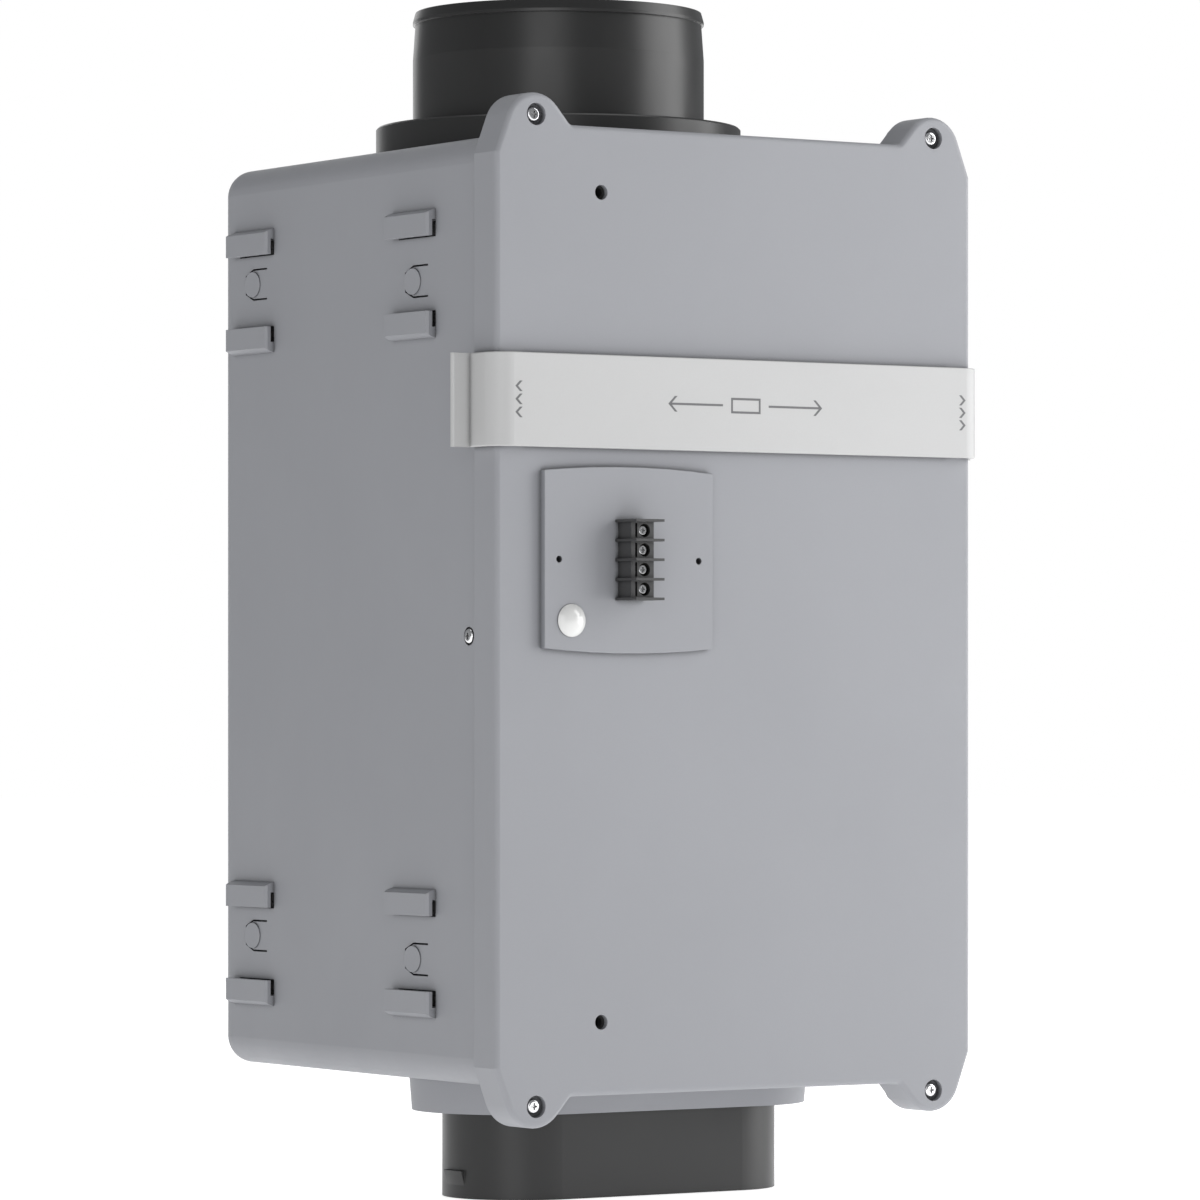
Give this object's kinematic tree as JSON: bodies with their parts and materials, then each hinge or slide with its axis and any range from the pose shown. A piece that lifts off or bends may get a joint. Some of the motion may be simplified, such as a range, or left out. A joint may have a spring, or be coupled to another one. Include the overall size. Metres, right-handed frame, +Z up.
{
  "type": "heat recovery unit",
  "caption": "Duct-mounted regenerative heat recovery ventilator in a tall moulded casing with round and oval spigots, pull-off filter cover and side bracket clips.",
  "frame": {"origin": "centre of the bounding box's underside, on the rim of the oval spigot", "axes": "+X to the right seen from the front, +Y from the front cover towards the back, +Z up along the spigots"},
  "size_m": [0.318, 0.3016, 0.6123],
  "materials": {
    "casing_grey": "fine satin texture, mid grey with a cool cast",
    "cover_white": "satin off-white",
    "spigot_black": "smooth satin black",
    "terminal_black": "fine matt black",
    "plug_white": "glossy white",
    "rubber_black": "matt",
    "foam_black": "closed-cell foam, matt",
    "filter_board": "card-like white",
    "filter_felt": "pleated non-woven",
    "liner_foam": "expanded bead foam",
    "core_ceramic": "unglazed extruded honeycomb",
    "felt_grey": "needle felt",
    "fan_black": "satin black",
    "motor_steel": "ground steel",
    "chromed_steel": "bright plated",
    "brass": "knurled",
    "plated_brass": "nickel-plated",
    "board_green": "lacquered laminate",
    "relay_blue": "moulded",
    "capacitor_dark": "shrink sleeve",
    "lead_grey": "sheathed lead"
  },
  "bodies": {
    "unit": {"rear_casing": "casing_grey", "front_cover": "casing_grey", "bracket_clips_left": "casing_grey", "bracket_clips_right": "casing_grey", "cover_gasket": "foam_black", "cover_screws": "chromed_steel", "threaded_inserts": "brass", "side_screws": "chromed_steel", "terminal_block": "terminal_black", "terminal_plates": "plated_brass", "terminal_screws": "chromed_steel", "test_port_tubes": "rubber_black", "top_spigot": "spigot_black", "top_spigot_screws": "chromed_steel", "bottom_spigot": "spigot_black", "bottom_spigot_gasket": "foam_black", "bottom_spigot_screws": "chromed_steel", "liner_top": "liner_foam", "liner_middle": "liner_foam", "liner_bottom": "liner_foam", "core_blocks": "core_ceramic", "core_sleeve": "felt_grey", "core_grid": "spigot_black", "core_retainer": "spigot_black", "fan_frame": "fan_black", "fan_stator": "motor_steel", "fan_bearings": "motor_steel", "fan_screws": "chromed_steel", "fan_guard": "chromed_steel", "control_tray": "fan_black", "control_board": "board_green", "board_screws": "chromed_steel", "tray_screws": "chromed_steel", "power_module": "terminal_black", "relays": "relay_blue", "capacitors": "capacitor_dark", "controller_chips": "terminal_black", "lead_socket": "plug_white", "fan_lead": "lead_grey", "temperature_sensors": "rubber_black"},
    "access": {"access_cover": "cover_white", "access_cover_seal": "foam_black"},
    "filter": {"filter_frame": "filter_board", "filter_media": "filter_felt", "filter_pull_tab": "filter_board"},
    "rotor": {"fan_rotor": "fan_black", "fan_shaft": "motor_steel"},
    "plug": {"entry_plug": "plug_white"}
  },
  "joints": [
    {"name": "access_cover_pull", "type": "slide", "parent": "unit", "child": "access", "axis": [0, -1, 0], "range_m": [0, 0.3]},
    {"name": "filter_slide", "type": "slide", "parent": "unit", "child": "filter", "axis": [0, -1, 0], "range_m": [0, 0.24]},
    {"name": "fan_spin", "type": "hinge", "parent": "unit", "child": "rotor", "pos_m": [0, 0.0198, 0.1825], "axis": [0, 0, 1], "continuous": true},
    {"name": "entry_plug_pull", "type": "slide", "parent": "unit", "child": "plug", "axis": [0, -1, 0], "range_m": [0, 0.02]}
  ],
  "couplings": [
    {"joint": "filter_slide", "follows": "access_cover_pull", "ratio": 0.8}
  ]
}
